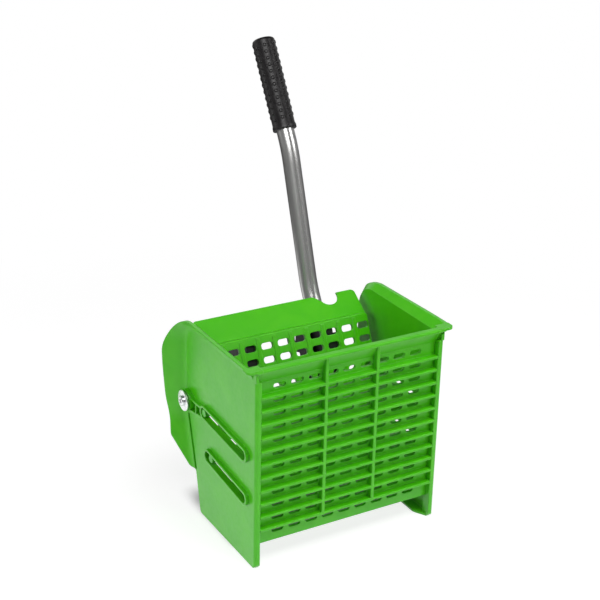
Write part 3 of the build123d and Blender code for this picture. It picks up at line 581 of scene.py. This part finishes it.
@dataclass
class HandGrip:
    """The studded rubber grip that is pushed over the top of the tube."""

    top_mm: tuple[float, float, float] = (82.0, 192.885, 574.78)
    axis: tuple[float, float, float] = (0.0, 0.51354, 0.85806)
    length_mm: float = 132.0
    radius_mm: float = 16.0
    collar_radius_mm: float = 16.9
    collar_mm: float = 5.0
    bore_radius_mm: float = 12.56
    end_wall_mm: float = 6.0
    top_round_mm: float = 4.5
    mouth_round_mm: float = 1.2
    collar_slope_mm: float = 3.0
    bore_bevel_mm: float = 0.4
    round_steps: int = 8
    segments: int = 96
    sharp_degrees: float = 40.0
    columns: int = 8
    rows: int = 12
    pitch_mm: float = 9.5
    first_mm: float = 13.0
    # Each column of studs starts this share of a pitch above the one before
    helix_share: float = 0.25
    stud_radius_mm: float = 2.8
    stud_height_mm: float = 0.9
    stud_segments: int = 12
    stud_rings: int = 6
    turn_degrees: float = 19.0

    def profile(self) -> list[tuple[float, float]]:
        """Give the half section from the closed top round into the bore.

        Returns:
            Points as radius and height over the mouth, in millimetres.
        """
        top = self.length_mm
        points = [(0.0, top), (self.radius_mm - self.top_round_mm, top)]
        steps = self.round_steps
        for step in range(1, steps + 1):
            turn = step / steps * math.pi / 2
            points.append((
                self.radius_mm - self.top_round_mm * (1 - math.sin(turn)),
                top - self.top_round_mm * (1 - math.cos(turn)),
            ))
        points.append((self.radius_mm, self.collar_mm + self.collar_slope_mm))
        points.append((self.collar_radius_mm, self.collar_mm))
        for step in range(steps + 1):
            turn = step / steps * math.pi / 2
            points.append((
                self.collar_radius_mm - self.mouth_round_mm * (1 - math.cos(turn)),
                self.mouth_round_mm * (1 - math.sin(turn)),
            ))
        points.append((self.bore_radius_mm + self.bore_bevel_mm, 0.0))
        points.append((self.bore_radius_mm, self.bore_bevel_mm))
        points.append((self.bore_radius_mm, top - self.end_wall_mm))
        points.append((0.0, top - self.end_wall_mm))
        return points

    def turned_body(self) -> bpy.types.Mesh:
        """Turn the half section about the grip's axis.

        Returns:
            A closed mesh with its mouth at the origin and its top along +Z.
        """
        shape = bmesh.new()
        rings = []
        for radius, height in self.profile():
            if radius == 0.0:
                rings.append([shape.verts.new((0.0, 0.0, height * MM))])
                continue
            ring = []
            for index in range(self.segments):
                turn = 2 * math.pi * index / self.segments
                ring.append(shape.verts.new((
                    radius * MM * math.cos(turn), radius * MM * math.sin(turn), height * MM,
                )))
            rings.append(ring)
        for upper, lower in zip(rings, rings[1:]):
            for index in range(self.segments):
                after = (index + 1) % self.segments
                if len(upper) == 1:
                    corners = (upper[0], lower[index], lower[after])
                elif len(lower) == 1:
                    corners = (upper[index], lower[0], upper[after])
                else:
                    corners = (upper[index], lower[index], lower[after], upper[after])
                shape.faces.new(corners)
        bmesh.ops.recalc_face_normals(shape, faces=shape.faces)
        mesh = bpy.data.meshes.new("grip_body")
        shape.to_mesh(mesh)
        shape.free()
        mesh.shade_smooth()
        mesh.set_sharp_from_angle(angle=math.radians(self.sharp_degrees))
        return mesh

    def stud_tree(self) -> bpy.types.GeometryNodeTree:
        """Build the node tree that sets the studs on the grip in columns.

        Returns:
            The tree, with a named input for each size.
        """
        tree = bpy.data.node_groups.new("grip_studs", "GeometryNodeTree")
        sockets = tree.interface
        sockets.new_socket("Geometry", in_out="INPUT", socket_type="NodeSocketGeometry")
        for name in ("Columns", "Rows"):
            sockets.new_socket(name, in_out="INPUT", socket_type="NodeSocketInt")
        for name in ("Body Radius", "Stud Radius", "Stud Height", "Pitch", "First", "Helix", "Turn"):
            sockets.new_socket(name, in_out="INPUT", socket_type="NodeSocketFloat")
        sockets.new_socket("Finish", in_out="INPUT", socket_type="NodeSocketMaterial")
        sockets.new_socket("Geometry", in_out="OUTPUT", socket_type="NodeSocketGeometry")
        given = add_node(tree, "NodeGroupInput").outputs
        number = add_node(tree, "GeometryNodeInputIndex").outputs[0]
        filled = add_node(tree, "ShaderNodeMath", {
            0: number, 1: given["Rows"],
        }, operation="DIVIDE").outputs[0]
        column = add_node(tree, "ShaderNodeMath", {0: filled}, operation="FLOOR").outputs[0]
        row = add_node(tree, "ShaderNodeMath", {
            0: number, 1: given["Rows"],
        }, operation="MODULO").outputs[0]
        step = add_node(tree, "ShaderNodeMath", {
            0: 2 * math.pi, 1: given["Columns"],
        }, operation="DIVIDE").outputs[0]
        angle = add_node(tree, "ShaderNodeMath", {
            0: column, 1: step, 2: given["Turn"],
        }, operation="MULTIPLY_ADD").outputs[0]
        wound = add_node(tree, "ShaderNodeMath", {
            0: column, 1: given["Helix"],
        }, operation="MULTIPLY").outputs[0]
        shift = add_node(tree, "ShaderNodeMath", {0: wound}, operation="FRACT").outputs[0]
        level = add_node(tree, "ShaderNodeMath", {0: row, 1: shift}, operation="ADD").outputs[0]
        height = add_node(tree, "ShaderNodeMath", {
            0: level, 1: given["Pitch"], 2: given["First"],
        }, operation="MULTIPLY_ADD").outputs[0]
        across = add_node(tree, "ShaderNodeMath", {0: angle}, operation="COSINE").outputs[0]
        along = add_node(tree, "ShaderNodeMath", {0: angle}, operation="SINE").outputs[0]
        outward = add_node(tree, "ShaderNodeCombineXYZ", {0: across, 1: along}).outputs[0]
        spoke = add_node(tree, "ShaderNodeVectorMath", {
            0: outward, "Scale": given["Body Radius"],
        }, operation="SCALE").outputs[0]
        rise = add_node(tree, "ShaderNodeCombineXYZ", {2: height}).outputs[0]
        place = add_node(tree, "ShaderNodeVectorMath", {
            0: spoke, 1: rise,
        }, operation="ADD").outputs[0]
        count = add_node(tree, "ShaderNodeMath", {
            0: given["Columns"], 1: given["Rows"],
        }, operation="MULTIPLY").outputs[0]
        line = add_node(tree, "GeometryNodeMeshLine", {"Count": count}).outputs[0]
        points = add_node(tree, "GeometryNodeSetPosition", {
            "Geometry": line, "Position": place,
        }).outputs[0]
        ball = add_node(tree, "GeometryNodeMeshUVSphere", {
            "Segments": self.stud_segments, "Rings": self.stud_rings, "Radius": 1.0,
        }).outputs[0]
        flat = add_node(tree, "ShaderNodeCombineXYZ", {
            0: given["Stud Radius"], 1: given["Stud Radius"], 2: given["Stud Height"],
        }).outputs[0]
        dome = add_node(tree, "GeometryNodeTransform", {
            "Geometry": ball, "Scale": flat,
        }).outputs[0]
        smooth = add_node(tree, "GeometryNodeSetShadeSmooth", {"Geometry": dome}).outputs[0]
        facing = add_node(tree, "FunctionNodeAlignRotationToVector", {
            "Vector": outward,
        }, axis="Z").outputs[0]
        studs = add_node(tree, "GeometryNodeInstanceOnPoints", {
            "Points": points, "Instance": smooth, "Rotation": facing,
        }).outputs[0]
        joined = add_node(tree, "GeometryNodeJoinGeometry", {"Geometry": studs})
        tree.links.new(given["Geometry"], joined.inputs["Geometry"])
        real = add_node(tree, "GeometryNodeRealizeInstances", {
            "Geometry": joined.outputs[0],
        }).outputs[0]
        dressed = add_node(tree, "GeometryNodeSetMaterial", {
            "Geometry": real, "Material": given["Finish"],
        }).outputs[0]
        add_node(tree, "NodeGroupOutput", {"Geometry": dressed})
        return tree

    def build(self, palette: Palette) -> bpy.types.Object:
        """Build the grip, put it on the tube and let it ride on the lever.

        Args:
            palette: The materials.

        Returns:
            The finished piece.
        """
        grip = bpy.data.objects.new("studded_grip", self.turned_body())
        bpy.context.scene.collection.objects.link(grip)
        tree = self.stud_tree()
        studs = grip.modifiers.new("studs", "NODES")
        studs.node_group = tree
        values = {
            "Columns": self.columns, "Rows": self.rows,
            "Body Radius": self.radius_mm * MM, "Stud Radius": self.stud_radius_mm * MM,
            "Stud Height": self.stud_height_mm * MM, "Pitch": self.pitch_mm * MM,
            "First": self.first_mm * MM, "Helix": self.helix_share,
            "Turn": math.radians(self.turn_degrees),
            "Finish": palette.get(Slot.GRIP_RUBBER),
        }
        for item in tree.interface.items_tree:
            if item.in_out == "INPUT" and item.name in values:
                studs[item.identifier] = values[item.name]
        bpy.context.view_layer.update()
        seen = grip.evaluated_get(bpy.context.evaluated_depsgraph_get())
        mesh = bpy.data.meshes.new_from_object(seen)
        grip.modifiers.remove(studs)
        along = Vector(self.axis).normalized()
        side = Vector((1.0, 0.0, 0.0))
        turn = Matrix((side, along.cross(side), along)).transposed().to_4x4()
        mouth = Vector(self.top_mm) * MM - along * self.length_mm * MM
        mesh.transform(Matrix.Translation(mouth) @ turn)
        grip.data = mesh
        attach(grip, Body.LEVER.value)
        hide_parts("hand_grip")
        LOG.info("lever: studded_grip with %d studs", self.columns * self.rows)
        return grip


@dataclass
class PhotoCamera:
    """The camera at the photograph's viewing angle."""

    eye: tuple[float, float, float] = (-0.8412, -1.5074, 1.0104)
    pitch: float = 23.27
    yaw: float = 30.29
    roll: float = -1.31
    focal_pixels: float = 1392.0
    image_pixels: float = 600.0
    sensor_mm: float = 36.0

    def build(self) -> bpy.types.Object:
        """Make the camera and set it as the scene's.

        Returns:
            The camera.
        """
        pitch, yaw, roll = (math.radians(a) for a in (self.pitch, self.yaw, self.roll))
        level = Vector((math.cos(yaw), -math.sin(yaw), 0.0))
        ahead = Vector((
            math.sin(yaw) * math.cos(pitch), math.cos(yaw) * math.cos(pitch), -math.sin(pitch),
        ))
        down = ahead.cross(level)
        right = math.cos(roll) * level + math.sin(roll) * down
        below = math.cos(roll) * down - math.sin(roll) * level
        lens = bpy.data.cameras.new("photo_camera")
        lens.sensor_width = self.sensor_mm
        lens.lens = self.focal_pixels / self.image_pixels * self.sensor_mm
        camera = bpy.data.objects.new("photo_camera", lens)
        turn = Matrix((right, -below, -ahead)).transposed().to_4x4()
        camera.matrix_world = Matrix.Translation(Vector(self.eye)) @ turn
        bpy.context.scene.collection.objects.link(camera)
        bpy.context.scene.camera = camera
        return camera


@dataclass(frozen=True)
class Softbox:
    """A soft square lamp that faces the object.

    A lamp that doesn't shine is left out of reflections, and one that doesn't
    light is seen in them only.
    """

    name: str
    place: tuple[float, float, float]
    size: float
    watts: float
    aim: tuple[float, float, float] = (0.0, -0.05, 0.2)
    shines: bool = True
    lights: bool = True

    def build(self) -> bpy.types.Object:
        """Make the lamp.

        Returns:
            The lamp's object.
        """
        light = bpy.data.lights.new(self.name, "AREA")
        light.shape = "SQUARE"
        light.size = self.size
        light.energy = self.watts
        lamp = bpy.data.objects.new(self.name, light)
        lamp.location = self.place
        lamp.visible_glossy = self.shines
        lamp.visible_diffuse = self.lights
        lamp.rotation_euler = (Vector(self.aim) - lamp.location).to_track_quat("-Z", "Y").to_euler()
        bpy.context.scene.collection.objects.link(lamp)
        return lamp


@dataclass
class Studio:
    """A plain pale floor, a white surround and soft lamps.

    The floor glows white round the object, apart from the space under the
    hopper, which is left darker as painted shade. Reflections see that floor
    and the white rear wall, but a dim front, ceiling, distant floor and floor
    behind the hopper.
    """

    floor_half: float = 8.0
    floor_drop: float = 0.0004
    floor_colour: str = "#E8E8E8"
    # The sheet near the object: its glow, and the grey that takes the shadow
    floor_glow: float = 0.80
    floor_sheet: float = 0.34
    # Distances over which the sheet turns into plain white
    near: float = 0.5
    far: float = 0.95
    # What reflections see of the floor: near the object, and far off or behind it
    near_shine: float = 1.0
    far_shine: float = 0.10
    # Soft edges of the space under the hopper, where the floor doesn't glow and shows painted shade
    under_x: tuple[float, float] = (0.115, 0.145)
    under_front: tuple[float, float] = (-0.150, -0.136)
    under_back: tuple[float, float] = (-0.030, 0.030)
    # Soft edges of the floor behind the hopper, which is dim in reflections
    rear_x: tuple[float, float] = (-0.20, -0.13)
    rear_y: tuple[float, float] = (0.02, 0.12)
    # The surround as light, and what reflections see of its parts
    ambient: float = 0.096
    ceiling: float = 0.04
    front_room: float = 0.26
    back_room: float = 1.0
    # Directions over which the front turns into the rear wall, and a wall into the ceiling
    rearward: tuple[float, float] = (0.2, 0.7)
    upward: tuple[float, float] = (0.3, 0.7)
    lamps: tuple[Softbox, ...] = (
        Softbox("key_lamp", (0.397, -0.901, 1.966), 1.0, 19.6, shines=False),
        Softbox("top_lamp", (-0.397, -0.901, 1.966), 1.0, 10.8, shines=False),
        Softbox("side_lamp", (-1.902, 0.285, 0.718), 1.0, 16.6, shines=False),
        Softbox("front_lamp", (0.597, -1.887, 0.718), 1.0, 9.8, shines=False),
        Softbox("right_glint", (1.242, -1.020, 1.431), 0.7, 7.0, lights=False),
        Softbox("left_glint", (-0.690, -1.073, 1.776), 1.1, 17.0, lights=False),
    )

    def build(self) -> None:
        """Lay the floor, hang the lamps and set the surround."""
        self.lay_floor()
        for lamp in self.lamps:
            lamp.build()
        self.surround()
        bpy.context.scene.view_settings.view_transform = "Standard"

    def seen_straight(self, tree: bpy.types.NodeTree) -> bpy.types.NodeSocket:
        """Tell rays that show the background from those that only light.

        Args:
            tree: The floor's or the world's tree.

        Returns:
            One for camera, glossy and transmission rays.
        """
        rays = add_node(tree, "ShaderNodeLightPath").outputs
        shown = add_node(tree, "ShaderNodeMath", {
            0: rays["Is Camera Ray"], 1: rays["Is Glossy Ray"],
        }, operation="MAXIMUM").outputs[0]
        return add_node(tree, "ShaderNodeMath", {
            0: shown, 1: rays["Is Transmission Ray"],
        }, operation="MAXIMUM").outputs[0]

    def glow_strength(
        self, tree: bpy.types.NodeTree, place: bpy.types.NodeSocket,
        beside: bpy.types.NodeSocket,
    ) -> bpy.types.NodeSocket:
        """Keep the floor's glow out of the space under the hopper.

        Args:
            tree: The floor's tree.
            place: The place on the floor.
            beside: The strength where the hopper doesn't cover the floor.

        Returns:
            The strength of the glow.
        """
        # The floor left without glow under the hopper is painted shade
        parts = add_node(tree, "ShaderNodeSeparateXYZ", {0: place}).outputs
        off_middle = add_node(tree, "ShaderNodeMath", {
            0: parts["X"],
        }, operation="ABSOLUTE").outputs[0]
        between = add_node(tree, "ShaderNodeMapRange", {
            "Value": off_middle, "From Min": self.under_x[0], "From Max": self.under_x[1],
            "To Min": 1.0, "To Max": 0.0,
        }, interpolation_type="SMOOTHSTEP").outputs["Result"]
        behind = add_node(tree, "ShaderNodeMapRange", {
            "Value": parts["Y"], "From Min": self.under_front[0], "From Max": self.under_front[1],
        }, interpolation_type="SMOOTHSTEP").outputs["Result"]
        before = add_node(tree, "ShaderNodeMapRange", {
            "Value": parts["Y"], "From Min": self.under_back[0], "From Max": self.under_back[1],
            "To Min": 1.0, "To Max": 0.0,
        }, interpolation_type="SMOOTHSTEP").outputs["Result"]
        deep = add_node(tree, "ShaderNodeMath", {
            0: behind, 1: before,
        }, operation="MULTIPLY").outputs[0]
        under = add_node(tree, "ShaderNodeMath", {
            0: between, 1: deep,
        }, operation="MULTIPLY").outputs[0]
        return add_node(tree, "ShaderNodeMapRange", {
            "Value": under, "To Min": beside, "To Max": 0.0,
        }).outputs["Result"]

    def shine_strength(
        self, tree: bpy.types.NodeTree, place: bpy.types.NodeSocket,
    ) -> bpy.types.NodeSocket:
        """Dim the floor behind the hopper in reflections, so that its inner walls stay dark.

        Args:
            tree: The floor's tree.
            place: The place on the floor.

        Returns:
            The strength that shiny faces reflect.
        """
        parts = add_node(tree, "ShaderNodeSeparateXYZ", {0: place}).outputs
        inside = add_node(tree, "ShaderNodeMapRange", {
            "Value": parts["X"], "From Min": self.rear_x[0], "From Max": self.rear_x[1],
        }, interpolation_type="SMOOTHSTEP").outputs["Result"]
        behind = add_node(tree, "ShaderNodeMapRange", {
            "Value": parts["Y"], "From Min": self.rear_y[0], "From Max": self.rear_y[1],
        }, interpolation_type="SMOOTHSTEP").outputs["Result"]
        rear = add_node(tree, "ShaderNodeMath", {
            0: inside, 1: behind,
        }, operation="MULTIPLY").outputs[0]
        return add_node(tree, "ShaderNodeMapRange", {
            "Value": rear, "To Min": self.near_shine, "To Max": self.far_shine,
        }).outputs["Result"]

    def lay_floor(self) -> None:
        """Lay the pale floor that keeps the object's soft shadow."""
        mesh = bpy.data.meshes.new("floor")
        half = self.floor_half
        mesh.from_pydata(
            [(-half, -half, 0.0), (half, -half, 0.0), (half, half, 0.0), (-half, half, 0.0)],
            [], [(0, 1, 2, 3)],
        )
        mesh.transform(Matrix.Translation((0.0, 0.0, -self.floor_drop)))
        floor = bpy.data.objects.new("floor", mesh)
        bpy.context.scene.collection.objects.link(floor)
        paper = bpy.data.materials.new("matt_paper_white")
        paper.use_nodes = True
        tree = paper.node_tree
        tree.nodes.clear()
        plain = add_node(tree, "ShaderNodeBsdfDiffuse", {"Color": linear(self.floor_colour)}).outputs[0]
        sheet = add_node(tree, "ShaderNodeBsdfDiffuse", {
            "Color": (self.floor_sheet, self.floor_sheet, self.floor_sheet, 1.0),
        }).outputs[0]
        place = add_node(tree, "ShaderNodeTexCoord").outputs["Object"]
        shiny = add_node(tree, "ShaderNodeLightPath").outputs["Is Glossy Ray"]
        beside = add_node(tree, "ShaderNodeMix", {
            0: shiny, 2: self.floor_glow, 3: self.shine_strength(tree, place),
        }, data_type="FLOAT").outputs[0]
        glow = add_node(tree, "ShaderNodeEmission", {
            "Strength": self.glow_strength(tree, place, beside),
        }).outputs[0]
        lit = add_node(tree, "ShaderNodeAddShader", {0: sheet, 1: glow}).outputs[0]
        distant = add_node(tree, "ShaderNodeMix", {
            0: shiny, 2: 1.0, 3: self.far_shine,
        }, data_type="FLOAT").outputs[0]
        white = add_node(tree, "ShaderNodeEmission", {"Strength": distant}).outputs[0]
        reach = add_node(tree, "ShaderNodeVectorMath", {0: place}, operation="LENGTH").outputs["Value"]
        away = add_node(tree, "ShaderNodeMapRange", {
            "Value": reach, "From Min": self.near, "From Max": self.far,
        }, interpolation_type="SMOOTHSTEP").outputs["Result"]
        shown = add_node(tree, "ShaderNodeMixShader", {0: away, 1: lit, 2: white}).outputs[0]
        mixed = add_node(tree, "ShaderNodeMixShader", {
            0: self.seen_straight(tree), 1: plain, 2: shown,
        }).outputs[0]
        add_node(tree, "ShaderNodeOutputMaterial", {"Surface": mixed})
        mesh.materials.append(paper)

    def surround(self) -> None:
        """Set a white surround, whose front and ceiling are dim in reflections."""
        world = bpy.data.worlds.new("studio")
        bpy.context.scene.world = world
        world.use_nodes = True
        tree = world.node_tree
        tree.nodes.clear()
        toward = add_node(tree, "ShaderNodeTexCoord").outputs["Generated"]
        parts = add_node(tree, "ShaderNodeSeparateXYZ", {0: toward}).outputs
        walls = add_node(tree, "ShaderNodeMapRange", {
            "Value": parts["Y"], "From Min": self.rearward[0], "From Max": self.rearward[1],
            "To Min": self.front_room, "To Max": self.back_room,
        }, interpolation_type="SMOOTHSTEP").outputs["Result"]
        room = add_node(tree, "ShaderNodeMapRange", {
            "Value": parts["Z"], "From Min": self.upward[0], "From Max": self.upward[1],
            "To Min": walls, "To Max": self.ceiling,
        }, interpolation_type="SMOOTHSTEP").outputs["Result"]
        rays = add_node(tree, "ShaderNodeLightPath").outputs
        level = add_node(tree, "ShaderNodeMix", {
            0: rays["Is Glossy Ray"], 2: self.ambient, 3: room,
        }, data_type="FLOAT").outputs[0]
        straight = add_node(tree, "ShaderNodeMath", {
            0: rays["Is Camera Ray"], 1: rays["Is Transmission Ray"],
        }, operation="MAXIMUM").outputs[0]
        strength = add_node(tree, "ShaderNodeMix", {
            0: straight, 2: level, 3: 1.0,
        }, data_type="FLOAT").outputs[0]
        back = add_node(tree, "ShaderNodeBackground", {
            "Color": WHITE, "Strength": strength,
        }).outputs[0]
        add_node(tree, "ShaderNodeOutputWorld", {"Surface": back})


def main() -> None:
    """Build the scene piece by piece."""
    logging.basicConfig(level=logging.INFO, format="%(name)s: %(message)s")
    palette = Palette()
    PhotoCamera().build()
    for assembly in (HopperBody(), PressAssembly(), LeverAssembly()):
        assembly.dress(palette)
    HandGrip().build(palette)
    Studio().build()


if __name__ == "__main__":
    main()
